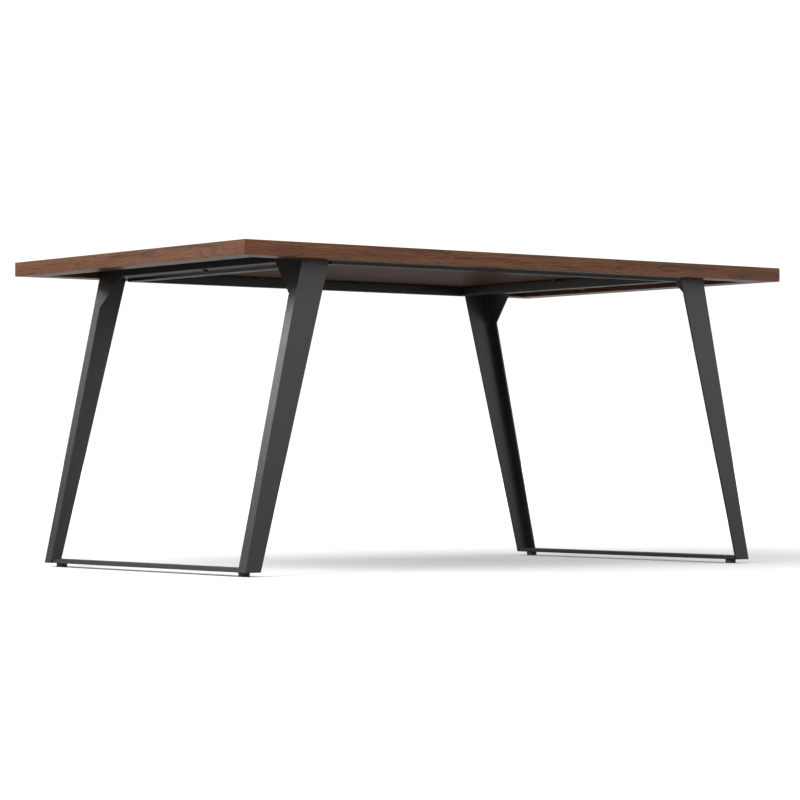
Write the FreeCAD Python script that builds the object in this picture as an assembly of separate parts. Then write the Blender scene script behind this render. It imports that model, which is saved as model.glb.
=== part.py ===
import FreeCAD, Part
import math
import os
from FreeCAD import Vector

# Butcher block table in millimetres.  X runs along the length, Y across the width, +Z is up.
# The origin is the middle of the table on the floor; "front" is the -Y side, "left" the -X end.

# Overall sizes
top_length = 1676.4
top_width = 1016.0
table_height = 762.0

# Walnut top: mitred edge strips round a thinner panel of edge-glued staves
edge_height = 35.0
edge_strip_width = 63.5
edge_round = 1.2
panel_thickness = 16.0
stave_count = 15

# Legs of welded plate, each an open angle that leans outwards towards the floor
leg_plate = 5.0
leg_corner_round = 1.5
leg_corner_fillet = 1.0
leg_top_inset = 206.2
leg_foot_inset = 47.5
leg_side_gap = 3.5
side_flange_top = 77.0
side_flange_foot = 44.5
end_flange_width = 29.0
gusset_reach = 106.0
weld_gap = 1.5

# Channel that joins two legs at the top
channel_width = 70.0
channel_wall = 4.0

# Floor bar that joins two legs at the bottom
bar_width = 38.0
bar_thickness = 10.0

# Levelling glides
glide_height = 10.0
glide_diameter = 27.0
glide_inboard = 41.0
glide_round = 1.5
stem_diameter = 8.0
stem_collar_diameter = 12.0
stem_collar_thickness = 3.5
pad_floor = 3.4
stem_below_bar_top = 0.5
hex_socket_flats = 4.0
hex_socket_depth = 5.0

# Rails of the under-frame
rail_height = 25.4
long_rail_width = 25.4
end_rail_width = 38.1
rail_wall = 2.0
rail_end_gap = 3.0
cap_flange = 2.0
cap_plug_length = 12.0

# Screw tabs on the rails
tab_size = 24.0
tab_thickness = 4.0
long_rail_tab_x = 165.0
tab_screw_diameter = 4.8
tab_screw_head_diameter = 9.0
tab_screw_head_height = 3.0
tab_screw_bite = 12.0
screw_slot_width = 1.2
screw_slot_depth = 1.4

# Bolt up through the middle of each channel into the top
top_bolt_from_corner = 28.0
top_bolt_diameter = 8.0
top_bolt_head_flats = 13.0
top_bolt_head_height = 5.3
spacer_diameter = 14.0
insert_diameter = 12.0
insert_depth = 12.0
bolt_tip_room = 1.0

# Bolts between each channel and the end rail beside it
rail_bolt_diameter = 6.0
rail_bolt_head_flats = 10.0
rail_bolt_head_height = 4.0
rail_bolt_length = 16.0
rail_bolt_from_end = 65.0
rail_bolt_pair_gap = 200.0
rivet_nut_diameter = 9.0
rivet_nut_length = 13.0

# Clearances
hole_clearance = 0.3
thread_clearance = 0.05
collar_clearance = 0.1
pad_clearance = 0.3

# Heights
edge_bottom = table_height - edge_height
panel_bottom = table_height - panel_thickness
rail_bottom = panel_bottom - rail_height
bar_bottom = glide_height
bar_top = bar_bottom + bar_thickness

# Plan positions, all for the +X +Y corner
half_length = top_length / 2
half_width = top_width / 2
panel_half_length = half_length - edge_strip_width
panel_half_width = half_width - edge_strip_width
leg_outer_y = panel_half_width - leg_side_gap
leg_inner_y = leg_outer_y - leg_plate
leg_top_x = half_length - leg_top_inset
leg_foot_x = half_length - leg_foot_inset
lean = (leg_foot_x - leg_top_x) / (edge_bottom - bar_bottom)
plate_across = leg_plate * math.sqrt(1 + lean * lean)
gusset_inner_y = leg_outer_y - gusset_reach
flange_inner_y = leg_outer_y - end_flange_width
welded_half_width = leg_inner_y - weld_gap
channel_inner_x = leg_top_x - channel_width
end_rail_inner_x = channel_inner_x - end_rail_width
long_rail_inner_y = leg_outer_y - long_rail_width


def corner_x(z):
    """X of the outside of a leg's corner at height z."""
    return leg_foot_x - lean * (z - bar_bottom)


def flange_edge_x(z):
    """X of the free edge of a leg's side flange at height z."""
    share = (z - bar_bottom) / (edge_bottom - bar_bottom)
    return corner_x(z) - side_flange_foot - (side_flange_top - side_flange_foot) * share


glide_x = corner_x(bar_top) - plate_across - bar_width / 2
glide_y = leg_outer_y - glide_inboard
top_bolt_x = leg_top_x - top_bolt_from_corner
rail_bolt_z = (edge_bottom + channel_wall + panel_bottom) / 2
long_rail_half = flange_edge_x(panel_bottom) - rail_end_gap
tab_z = panel_bottom - tab_thickness
outer_rail_bolt_y = long_rail_inner_y - rail_bolt_from_end
inner_rail_bolt_y = outer_rail_bolt_y - rail_bolt_pair_gap
rail_bolt_y = [-outer_rail_bolt_y, -inner_rail_bolt_y, inner_rail_bolt_y, outer_rail_bolt_y]


def block(x0, x1, y0, y1, z0, z1):
    return Part.makeBox(x1 - x0, y1 - y0, z1 - z0, Vector(x0, y0, z0))


def side_prism(outline, y0, y1):
    """Prism along Y from an outline of (x, z) points."""
    corners = [Vector(x, y0, z) for x, z in outline]
    face = Part.Face(Part.makePolygon(corners + corners[:1]))
    return face.extrude(Vector(0, y1 - y0, 0))


def end_prism(outline, x0, x1):
    """Prism along X from an outline of (y, z) points."""
    corners = [Vector(x0, y, z) for y, z in outline]
    face = Part.Face(Part.makePolygon(corners + corners[:1]))
    return face.extrude(Vector(x1 - x0, 0, 0))


def post(x, y, z0, z1, diameter):
    return Part.makeCylinder(diameter / 2, z1 - z0, Vector(x, y, z0))


def hexagon(base, along, flats, height):
    """Hexagonal prism that starts at base and grows in the direction along."""
    radius = flats / math.sqrt(3)
    corners = [Vector(radius * math.cos(math.radians(60 * k)), radius * math.sin(math.radians(60 * k)), 0)
               for k in range(7)]
    prism = Part.Face(Part.makePolygon(corners)).extrude(Vector(0, 0, height))
    prism.Placement = FreeCAD.Placement(base, FreeCAD.Rotation(Vector(0, 0, 1), along))
    return prism


def flip_x(shape):
    return shape.mirror(Vector(0, 0, 0), Vector(1, 0, 0))


def flip_y(shape):
    return shape.mirror(Vector(0, 0, 0), Vector(0, 1, 0))


def four_corners(shape):
    """The shape made for the +X +Y corner, and its three mirror images."""
    return [shape, flip_x(shape), flip_y(shape), flip_x(flip_y(shape))]


def save(name, *solids):
    shape = solids[0] if len(solids) == 1 else Part.makeCompound(list(solids))
    shape.exportStep("parts/" + name + ".step")


# ---------------------------------------------------------------- places of the fasteners

tab_middle_x = end_rail_inner_x - tab_size / 2
tab_middle_y = long_rail_inner_y - tab_size / 2
tab_spots = [(sx * tab_middle_x, sy * tab_middle_y) for sx in (-1, 1) for sy in (-1, 1)]
tab_spots += [(sx * long_rail_tab_x, sy * tab_middle_y) for sx in (-1, 1) for sy in (-1, 1)]
tab_spots += [(sx * tab_middle_x, 0.0) for sx in (-1, 1)]
top_bolt_spots = [(-top_bolt_x, 0.0), (top_bolt_x, 0.0)]


# ---------------------------------------------------------------- walnut top

def edge_strip(half, inner_offset):
    """Mitred strip along X at the +Y edge, for a top that is half long each way."""
    inner = inner_offset - edge_strip_width
    strip = block(-half, half, inner, inner_offset, edge_bottom, table_height)
    outer_edges = [edge for edge in strip.Edges
                   if edge.BoundBox.YMin > inner_offset - 0.01 and edge.BoundBox.XLength > half]
    strip = strip.makeFillet(edge_round, outer_edges)
    plan = [Vector(-half, inner_offset, 0), Vector(half, inner_offset, 0),
            Vector(half - edge_strip_width, inner, 0), Vector(-half + edge_strip_width, inner, 0)]
    mitre = Part.Face(Part.makePolygon(plan + plan[:1])).extrude(Vector(0, 0, table_height))
    return strip.common(mitre)


back_strip = edge_strip(half_length, half_width)
right_strip = edge_strip(half_width, half_length)
right_strip.rotate(Vector(0, 0, 0), Vector(0, 0, 1), -90)

panel_holes = [post(x, y, tab_z, panel_bottom + tab_screw_bite, tab_screw_diameter + 2 * thread_clearance)
               for x, y in tab_spots]
panel_holes += [post(x, y, tab_z, panel_bottom + insert_depth, insert_diameter) for x, y in top_bolt_spots]


def staves():
    width = 2 * panel_half_width / stave_count
    made = []
    for k in range(stave_count):
        low = -panel_half_width + k * width
        high = low + width
        stave = block(-panel_half_length, panel_half_length, low, high, panel_bottom, table_height)
        cutters = [hole for hole in panel_holes if hole.BoundBox.YMax > low and hole.BoundBox.YMin < high]
        made.append(stave.cut(cutters) if cutters else stave)
    return made


# ---------------------------------------------------------------- leg frames

def leaning_plate(z0, z1, y0, y1):
    """Plate that lies in the plane of the end flanges."""
    outline = [(corner_x(z0), z0), (corner_x(z1), z1),
               (corner_x(z1) - plate_across, z1), (corner_x(z0) - plate_across, z0)]
    return side_prism(outline, y0, y1)


def leg():
    side = side_prism([(corner_x(bar_bottom), bar_bottom), (corner_x(panel_bottom), panel_bottom),
                       (flange_edge_x(panel_bottom), panel_bottom), (flange_edge_x(bar_bottom), bar_bottom)],
                      leg_inner_y, leg_outer_y)
    gusset_start = edge_bottom - (gusset_reach - end_flange_width)
    end_outline = [(leg_outer_y, bar_bottom), (leg_outer_y, panel_bottom),
                   (gusset_inner_y, panel_bottom), (gusset_inner_y, edge_bottom),
                   (flange_inner_y, gusset_start), (flange_inner_y, bar_bottom)]
    end = leaning_plate(bar_bottom, panel_bottom, 0, leg_outer_y)
    end = end.common(end_prism(end_outline, 0, half_length))
    angle = side.fuse(end).removeSplitter()
    angle = angle.makeFillet(leg_corner_round, corner_edges(angle, leg_outer_y, 0))
    return angle.makeFillet(leg_corner_fillet, corner_edges(angle, leg_inner_y, plate_across))


def corner_edges(shape, y, back):
    """Edges along the leg's corner, at this Y and this far behind the outer face."""
    found = []
    for edge in shape.Edges:
        ends = [vertex.Point for vertex in edge.Vertexes]
        on_line = [abs(p.y - y) < 0.01 and abs(p.x - corner_x(p.z) + back) < 0.01 for p in ends]
        if len(ends) == 2 and all(on_line) and edge.BoundBox.ZLength > edge_height:
            found.append(edge)
    return found


def channel():
    web = side_prism([(channel_inner_x, edge_bottom), (corner_x(edge_bottom) - plate_across, edge_bottom),
                      (corner_x(edge_bottom + channel_wall) - plate_across, edge_bottom + channel_wall),
                      (channel_inner_x, edge_bottom + channel_wall)],
                     -welded_half_width, welded_half_width)
    inner_wall = block(channel_inner_x, channel_inner_x + channel_wall,
                       -welded_half_width, welded_half_width, edge_bottom, panel_bottom)
    outer_wall = leaning_plate(edge_bottom, panel_bottom, -gusset_inner_y, gusset_inner_y)
    shape = web.fuse([inner_wall, outer_wall]).removeSplitter()
    holes = [post(top_bolt_x, 0, edge_bottom - 1, panel_bottom, top_bolt_diameter + 2 * hole_clearance)]
    for y in rail_bolt_y:
        holes.append(Part.makeCylinder(rail_bolt_diameter / 2 + hole_clearance, channel_wall + 2,
                                       Vector(channel_inner_x - 1, y, rail_bolt_z), Vector(1, 0, 0)))
    return shape.cut(holes)


def floor_bar():
    outer_low = corner_x(bar_bottom) - plate_across
    outer_high = corner_x(bar_top) - plate_across
    inner = outer_high - bar_width
    bar = side_prism([(inner, bar_bottom), (outer_low, bar_bottom), (outer_high, bar_top), (inner, bar_top)],
                     -welded_half_width, welded_half_width)
    holes = [post(glide_x, y, bar_bottom - 1, bar_top + 1, stem_diameter) for y in (-glide_y, glide_y)]
    return bar.cut(holes)


# ---------------------------------------------------------------- under-frame

def long_rail():
    tube = block(-long_rail_half, long_rail_half, long_rail_inner_y, leg_outer_y, rail_bottom, panel_bottom)
    hollow = block(-long_rail_half, long_rail_half, long_rail_inner_y + rail_wall, leg_outer_y - rail_wall,
                   rail_bottom + rail_wall, panel_bottom - rail_wall)
    return tube.cut(hollow)


def end_cap():
    """Plug in the end of a long rail, its flange just inside the tube's mouth."""
    low_y = long_rail_inner_y + rail_wall
    high_y = leg_outer_y - rail_wall
    low_z = rail_bottom + rail_wall
    high_z = panel_bottom - rail_wall
    plate = block(long_rail_half - cap_flange, long_rail_half, low_y, high_y, low_z, high_z)
    plug = block(long_rail_half - cap_plug_length, long_rail_half - cap_flange,
                 low_y + rail_wall, high_y - rail_wall, low_z + rail_wall, high_z - rail_wall)
    return plate.fuse(plug)


def end_rail():
    tube = block(end_rail_inner_x, channel_inner_x, -long_rail_inner_y, long_rail_inner_y,
                 rail_bottom, panel_bottom)
    hollow = block(end_rail_inner_x + rail_wall, channel_inner_x - rail_wall,
                   -long_rail_inner_y, long_rail_inner_y, rail_bottom + rail_wall, panel_bottom - rail_wall)
    inside_wall = channel_inner_x - 1.5 * rail_wall
    holes = [Part.makeCylinder(rivet_nut_diameter / 2, 2 * rail_wall, Vector(inside_wall, y, rail_bolt_z),
                               Vector(1, 0, 0)) for y in rail_bolt_y]
    return tube.cut([hollow] + holes)


def tab(x, y):
    plate = block(x - tab_size / 2, x + tab_size / 2, y - tab_size / 2, y + tab_size / 2, tab_z, panel_bottom)
    return plate.cut(post(x, y, tab_z - 1, panel_bottom + 1, tab_screw_diameter + 2 * hole_clearance))


# ---------------------------------------------------------------- fasteners

def tab_screw(x, y):
    head_bottom = tab_z - tab_screw_head_height
    head = post(x, y, head_bottom, tab_z, tab_screw_head_diameter)
    rim = [edge for edge in head.Edges if edge.BoundBox.ZMax < head_bottom + 0.01]
    head = head.makeFillet(tab_screw_head_height / 3, rim)
    arm = tab_screw_head_diameter / 4
    side = screw_slot_width / 2
    slot_top = head_bottom + screw_slot_depth
    slots = [block(x - arm, x + arm, y - side, y + side, head_bottom - 1, slot_top),
             block(x - side, x + side, y - arm, y + arm, head_bottom - 1, slot_top)]
    shank = post(x, y, tab_z, panel_bottom + tab_screw_bite, tab_screw_diameter)
    return head.fuse(shank).cut(slots)


def top_bolt(x, y):
    head = hexagon(Vector(x, y, edge_bottom - top_bolt_head_height), Vector(0, 0, 1),
                   top_bolt_head_flats, top_bolt_head_height)
    shank = post(x, y, edge_bottom, panel_bottom + insert_depth - bolt_tip_room, top_bolt_diameter)
    return head.fuse(shank)


def spacer(x, y):
    sleeve = post(x, y, edge_bottom + channel_wall, panel_bottom, spacer_diameter)
    return sleeve.cut(post(x, y, edge_bottom, table_height, top_bolt_diameter + 2 * hole_clearance))


def threaded_insert(x, y):
    barrel = post(x, y, panel_bottom, panel_bottom + insert_depth, insert_diameter)
    return barrel.cut(post(x, y, panel_bottom - 1, table_height, top_bolt_diameter + 2 * thread_clearance))


def rail_bolt(y):
    seat = Vector(channel_inner_x + channel_wall, y, rail_bolt_z)
    head = hexagon(seat, Vector(1, 0, 0), rail_bolt_head_flats, rail_bolt_head_height)
    shank = Part.makeCylinder(rail_bolt_diameter / 2, rail_bolt_length, seat, Vector(-1, 0, 0))
    return head.fuse(shank)


def rivet_nut(y):
    mouth = Vector(channel_inner_x, y, rail_bolt_z)
    inward = Vector(-1, 0, 0)
    barrel = Part.makeCylinder(rivet_nut_diameter / 2, rivet_nut_length, mouth, inward)
    bore = Part.makeCylinder(rail_bolt_diameter / 2 + thread_clearance, rivet_nut_length, mouth, inward)
    return barrel.cut(bore)


# ---------------------------------------------------------------- levelling glides

def glide_pad():
    pad_top = bar_bottom - pad_clearance
    pad = post(glide_x, glide_y, 0, pad_top, glide_diameter)
    rims = [edge for edge in pad.Edges if edge.BoundBox.ZLength < 0.01]
    pad = pad.makeFillet(glide_round, rims)
    pocket = post(glide_x, glide_y, pad_floor, pad_floor + stem_collar_thickness + 2 * collar_clearance,
                  stem_collar_diameter + 2 * collar_clearance)
    neck = post(glide_x, glide_y, pad_floor, bar_bottom, stem_diameter)
    return pad.cut([pocket, neck])


def glide_stem():
    collar_bottom = pad_floor + collar_clearance
    collar_top = collar_bottom + stem_collar_thickness
    stem_top = bar_top - stem_below_bar_top
    collar = post(glide_x, glide_y, collar_bottom, collar_top, stem_collar_diameter)
    shank = post(glide_x, glide_y, collar_bottom, stem_top, stem_diameter - 2 * thread_clearance)
    socket = hexagon(Vector(glide_x, glide_y, stem_top - hex_socket_depth), Vector(0, 0, 1),
                     hex_socket_flats, hex_socket_depth + 1)
    return collar.fuse(shank).cut(socket)


# ---------------------------------------------------------------- write every piece

os.makedirs("parts", exist_ok=True)

for number, stave in enumerate(staves(), 1):
    save("top_stave_%02d" % number, stave)

save("edge_strip_back", back_strip)
save("edge_strip_front", flip_y(back_strip))
save("edge_strip_right", right_strip)
save("edge_strip_left", flip_x(right_strip))

corner_names = ["back_right", "back_left", "front_right", "front_left"]
for corner, shape in zip(corner_names, four_corners(leg())):
    save("leg_" + corner, shape)
for corner, shape in zip(corner_names, four_corners(glide_pad())):
    save("glide_pad_" + corner, shape)
for corner, shape in zip(corner_names, four_corners(glide_stem())):
    save("glide_stem_" + corner, shape)

for name, shape in [("leg_channel", channel()), ("floor_bar", floor_bar()), ("end_rail", end_rail())]:
    save(name + "_right", shape)
    save(name + "_left", flip_x(shape))

save("long_rail_back", long_rail())
save("long_rail_front", flip_y(long_rail()))
save("rail_end_caps", *four_corners(end_cap()))
save("screw_tabs", *[tab(x, y) for x, y in tab_spots])
save("tab_screws", *[tab_screw(x, y) for x, y in tab_spots])
save("top_bolts", *[top_bolt(x, y) for x, y in top_bolt_spots])
save("bolt_spacers", *[spacer(x, y) for x, y in top_bolt_spots])
save("threaded_inserts", *[threaded_insert(x, y) for x, y in top_bolt_spots])

right_bolts = [rail_bolt(y) for y in rail_bolt_y]
save("rail_bolts", *right_bolts, *[flip_x(bolt) for bolt in right_bolts])
right_nuts = [rivet_nut(y) for y in rail_bolt_y]
save("rivet_nuts", *right_nuts, *[flip_x(nut) for nut in right_nuts])
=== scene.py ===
import math

import bmesh
import bpy
from bpy.props import FloatProperty, FloatVectorProperty, IntProperty, PointerProperty
from bpy.types import Operator, Panel, PropertyGroup
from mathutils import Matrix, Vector


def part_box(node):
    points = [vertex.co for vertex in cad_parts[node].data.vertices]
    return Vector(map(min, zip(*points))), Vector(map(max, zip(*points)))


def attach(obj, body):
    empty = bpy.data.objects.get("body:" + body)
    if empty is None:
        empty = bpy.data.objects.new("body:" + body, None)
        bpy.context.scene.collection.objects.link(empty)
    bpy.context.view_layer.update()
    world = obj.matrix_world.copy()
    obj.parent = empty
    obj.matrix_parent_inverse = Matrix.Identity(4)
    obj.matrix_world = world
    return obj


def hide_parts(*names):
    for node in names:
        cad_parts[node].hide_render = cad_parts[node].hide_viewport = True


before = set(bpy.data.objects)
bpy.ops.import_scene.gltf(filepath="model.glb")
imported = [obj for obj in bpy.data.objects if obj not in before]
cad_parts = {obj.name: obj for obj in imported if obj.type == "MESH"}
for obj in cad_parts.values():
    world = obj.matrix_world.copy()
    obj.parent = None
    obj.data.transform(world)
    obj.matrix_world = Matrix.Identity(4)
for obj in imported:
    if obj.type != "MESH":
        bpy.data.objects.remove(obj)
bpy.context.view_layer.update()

bl_info = {
    "name": "Butcher Block Table",
    "version": (1, 0, 0),
    "blender": (4, 5, 0),
    "location": "3D View > Sidebar > Table",
    "description": "Walnut butcher block table on leaning welded leg frames",
    "category": "Add Mesh",
}

CORNERS = {"back_right": (1, 1), "back_left": (-1, 1), "front_right": (1, -1), "front_left": (-1, -1)}
ENDS = {"right": 1, "left": -1}
LONG_SIDES = {"back": 1, "front": -1}
# how far from a place a point may lie and still be found there
NEAR = 2e-5
# materials by kind, filled by the finishes operator
finish = {}


# ---------------------------------------------------------------- sizes and colours

def length(name, description, default):
    return FloatProperty(name=name, description=description, default=default, precision=5,
                         subtype="DISTANCE", unit="LENGTH")


def paint(name, description, red, green, blue):
    return FloatVectorProperty(name=name, description=description, default=(red, green, blue, 1),
                               size=4, min=0, max=1, subtype="COLOR")


class WalnutTopSettings(PropertyGroup):
    staves: IntProperty(name="Staves", description="Staves glued side by side in the panel", default=15, min=1)
    arris: length("Arris", "Radius along the outer edges of the top", 0.0005)
    glue_line: length("Glue line", "Easing where two pieces of wood meet", 0.00018)
    heartwood: paint("Heartwood", "Main colour of the wood", 0.111, 0.0354, 0.0087)
    light_wood: paint("Light wood", "Colour between the growth rings", 0.168, 0.060, 0.0180)
    dark_wood: paint("Dark wood", "Colour of the late growth and the pores", 0.030, 0.012, 0.007)


class SteelFrameSettings(PropertyGroup):
    plate: length("Plate", "Thickness of the leg plate", 0.005)
    corner: length("Corner", "Radius of the legs' outer corner", 0.0015)
    fillet: length("Fillet", "Radius of the weld inside the legs' corner", 0.001)
    ease: length("Ease", "Softening of the cut edges under the coating", 0.0004)
    flange_foot: length("Flange at foot", "Width of the legs' side flange at the foot", 0.0445)
    flange_top: length("Flange at top", "Width of the legs' side flange under the rim", 0.077)
    end_flange: length("End flange", "Width of the legs' end flange", 0.029)
    tube_wall: length("Tube wall", "Wall of the rails", 0.002)
    tube_corner: length("Tube corner", "Outside radius of the rails' corners", 0.0025)
    channel_wall: length("Channel wall", "Thickness of the leg channels", 0.004)
    channel_bend: length("Channel bend", "Outside radius of the channels' folded edge", 0.004)
    bar_edge: length("Bar edge", "Radius of the floor bars' inner edges", 0.0016)
    bead: length("Weld bead", "Radius of the weld beads", 0.0019)
    coating: paint("Coating", "Colour of the powder coat", 0.020, 0.020, 0.019)


class HardwareSettings(PropertyGroup):
    bolt_flats: length("Bolt head", "Top bolts' head across its flats", 0.013)
    screw_head: length("Screw head", "Diameter of the tab screws' heads", 0.009)
    tab_side: length("Tab side", "Side of the screw tabs", 0.024)
    tab_corner: length("Tab corner", "Radius of the screw tabs' free corners", 0.0045)
    oxide: paint("Black oxide", "Colour of the blackened screws and bolts", 0.018, 0.018, 0.019)
    zinc: paint("Zinc", "Colour of the plated parts", 0.55, 0.56, 0.58)
    brass: paint("Brass", "Colour of the threaded inserts", 0.62, 0.43, 0.17)
    plastic: paint("Plugs", "Colour of the rail plugs", 0.022, 0.022, 0.023)
    nylon: paint("Glides", "Colour of the glide pads", 0.030, 0.030, 0.031)


class StageSettings(PropertyGroup):
    floor: paint("Floor", "Colour of the floor", 0.81, 0.81, 0.81)
    sky: FloatProperty(name="Room light", description="Strength of the room's soft light", default=1.0, min=0)
    key: FloatProperty(name="Key light", description="Power of the large light at the left", default=300.0,
                       min=0, subtype="POWER", unit="POWER")
    rim: FloatProperty(name="Side light", description="Power of the small light behind the left end", default=30.0,
                       min=0, subtype="POWER", unit="POWER")
    bounce: FloatProperty(name="Bounce", description="Share of light that the floor gives back", default=0.2,
                          min=0, max=1)
    lift: FloatProperty(name="Lift", description="Glow that thins the shadows on the floor", default=0.03, min=0)


# ---------------------------------------------------------------- places taken from the frame

foot_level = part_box("leg_back_right")[0].z
panel_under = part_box("leg_back_right")[1].z
rim_under, table_height = (corner.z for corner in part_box("edge_strip_back"))
half_length, half_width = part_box("edge_strip_back")[1].xy
panel_half_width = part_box("top_stave_15")[1].y
leg_face_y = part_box("leg_back_right")[1].y
foot_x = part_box("leg_back_right")[1].x
gusset_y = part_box("leg_back_right")[0].y
shoulder_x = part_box("leg_channel_right")[1].x
lean = (foot_x - shoulder_x) / (rim_under - foot_level)


def corner_x(z):
    """Distance of a leg's corner from the middle of the table at height z."""
    return foot_x - lean * (z - foot_level)


# ---------------------------------------------------------------- modelling steps

def let_go():
    """Leaves edit mode and deselects everything."""
    if bpy.context.mode != "OBJECT":
        bpy.ops.object.mode_set(mode="OBJECT")
    bpy.ops.object.select_all(action="DESELECT")


def take(piece):
    """Makes a piece the only one selected."""
    let_go()
    piece.select_set(True)
    bpy.context.view_layer.objects.active = piece
    return piece


def edit(piece):
    """Opens a piece for editing."""
    take(piece)
    bpy.ops.object.mode_set(mode="EDIT")


def named(name):
    """Names the piece just added, puts its place into its mesh and returns it."""
    piece = bpy.context.object
    piece.name = piece.data.name = name
    bpy.ops.object.transform_apply(location=True, rotation=True, scale=True)
    return piece


def block(name, low, high):
    """Box between two corners."""
    let_go()
    low, high = Vector(low), Vector(high)
    bpy.ops.mesh.primitive_cube_add(size=1, location=(low + high) / 2, scale=high - low)
    return named(name)


def post(name, x, y, low, high, radius, sides=48):
    """Upright cylinder."""
    let_go()
    bpy.ops.mesh.primitive_cylinder_add(vertices=sides, radius=radius, depth=high - low,
                                        location=(x, y, (low + high) / 2))
    return named(name)


def within(x=None, y=None, z=None):
    """Test for what lies wholly at these places: each is a number, or a low and a high."""
    ranges = [(axis, span if isinstance(span, tuple) else (span, span))
              for axis, span in enumerate((x, y, z)) if span is not None]

    def test(element):
        points = [element.co] if hasattr(element, "co") else [corner.co for corner in element.verts]
        return all(low - NEAR <= point[axis] <= high + NEAR for point in points for axis, (low, high) in ranges)
    return test


def choose(kind, test):
    """Selects the vertices, edges or faces of the open piece that pass a test."""
    bpy.ops.mesh.select_mode(type=kind)
    bpy.ops.mesh.select_all(action="DESELECT")
    mesh = bpy.context.object.data
    work = bmesh.from_edit_mesh(mesh)
    found = [part for part in {"VERT": work.verts, "EDGE": work.edges, "FACE": work.faces}[kind] if test(part)]
    if not found:
        raise RuntimeError(f"nothing to select on {mesh.name}")
    for part in found:
        part.select_set(True)
    work.select_flush_mode()
    bmesh.update_edit_mesh(mesh)


def runs(axis, test=None):
    """Test for edges that run along an axis, and pass another test."""
    def both(edge):
        line = edge.verts[1].co - edge.verts[0].co
        return abs(line[axis]) > 0.9999 * line.length and (test is None or test(edge))
    return both


def faces(direction, test=None):
    """Test for faces that look in a direction, and pass another test."""
    way = Vector(direction).normalized()

    def both(face):
        return face.normal.dot(way) > 0.999 and (test is None or test(face))
    return both


def move(x=0.0, y=0.0, z=0.0):
    bpy.ops.transform.translate(value=(x, y, z))


def pull(x=0.0, y=0.0, z=0.0):
    """Extrudes the selection by this much."""
    bpy.ops.mesh.extrude_region_move(TRANSFORM_OT_translate={"value": (x, y, z)})


def slice_at(place, normal, keep=None):
    """Cuts the open piece with a plane. keep is "low" or "high" to drop the other side and close the cut."""
    bpy.ops.mesh.select_mode(type="VERT")
    bpy.ops.mesh.select_all(action="SELECT")
    bpy.ops.mesh.bisect(plane_co=place, plane_no=normal, use_fill=keep is not None,
                        clear_outer=keep == "low", clear_inner=keep == "high", threshold=1e-6)


def round_off(radius, segments=2):
    bpy.ops.mesh.bevel(offset=radius, offset_type="OFFSET", segments=segments, affect="EDGES", clamp_overlap=False)


def right_way_out():
    """Closes the edit with every face pointing outwards."""
    bpy.ops.mesh.select_all(action="SELECT")
    bpy.ops.mesh.remove_doubles(threshold=1e-6)
    bpy.ops.mesh.normals_make_consistent(inside=False)
    bpy.ops.object.mode_set(mode="OBJECT")


def ease_edges(piece, width, segments=2, over=40):
    """Softens the edges that turn by more than an angle."""
    take(piece)
    bpy.ops.object.modifier_add(type="BEVEL")
    bevel = piece.modifiers[-1]
    bevel.width, bevel.segments = width, segments
    bevel.limit_method, bevel.angle_limit = "ANGLE", math.radians(over)
    bevel.use_clamp_overlap = False
    bpy.ops.object.modifier_apply(modifier=bevel.name)


def give_wall(piece, wall):
    """Thickens a sheet inwards."""
    take(piece)
    bpy.ops.object.modifier_add(type="SOLIDIFY")
    solid = piece.modifiers[-1]
    solid.thickness, solid.offset, solid.use_even_offset = wall, -1, True
    bpy.ops.object.modifier_apply(modifier=solid.name)


def boolean(piece, tool, operation="DIFFERENCE", crossed=False):
    """Cuts a piece with a tool, or keeps what they share, and deletes the tool. crossed is for a tool that
    runs through itself."""
    take(piece)
    bpy.ops.object.modifier_add(type="BOOLEAN")
    cut = piece.modifiers[-1]
    cut.operation, cut.object, cut.solver, cut.use_self = operation, tool, "EXACT", crossed
    bpy.ops.object.modifier_apply(modifier=cut.name)
    take(tool)
    bpy.ops.object.delete()


def copy_of(piece, name, shift=(0, 0, 0), flip=(1, 1, 1)):
    """Copy with its own mesh, mirrored through the middle of the table where flip is -1, then shifted."""
    take(piece)
    bpy.ops.object.duplicate(linked=False)
    made = bpy.context.object
    made.name = made.data.name = name
    made.location, made.scale = shift, flip
    bpy.ops.object.transform_apply(location=True, rotation=False, scale=True)
    if flip[0] * flip[1] * flip[2] < 0:
        edit(made)
        right_way_out()
    return made


def at_corners(piece, name):
    """The back right piece and its mirror images at the other corners, each with its corner."""
    made = [(piece, "back_right")]
    for corner, (x, y) in list(CORNERS.items())[1:]:
        made.append((copy_of(piece, name + corner, flip=(x, y, 1)), corner))
    return made


def dress(piece, material, slot_name, body, *nodes, smooth=35):
    """Gives a finished piece its material and its body, and hides the frame nodes that it stands for."""
    take(piece)
    bpy.ops.object.shade_smooth_by_angle(angle=math.radians(smooth))
    # keeps flat faces flat between their rounded edges
    bpy.ops.object.modifier_add(type="WEIGHTED_NORMAL")
    flat = piece.modifiers[-1]
    flat.keep_sharp = True
    bpy.ops.object.modifier_apply(modifier=flat.name)
    piece.data.materials.clear()
    piece.data.materials.append(material)
    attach(piece, body)
    if nodes:
        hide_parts(*nodes)


def coat(piece, *nodes, smooth=35):
    """Dresses a steel piece of the table in the black coating."""
    dress(piece, finish["coating"], "powder_coat", "table", *nodes, smooth=smooth)


def repaint(node, material):
    """Gives a frame node that stays a better material."""
    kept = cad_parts[node]
    for place in kept.material_slots:
        place.link = "OBJECT"
        place.material = material


# ---------------------------------------------------------------- shader groups

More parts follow.
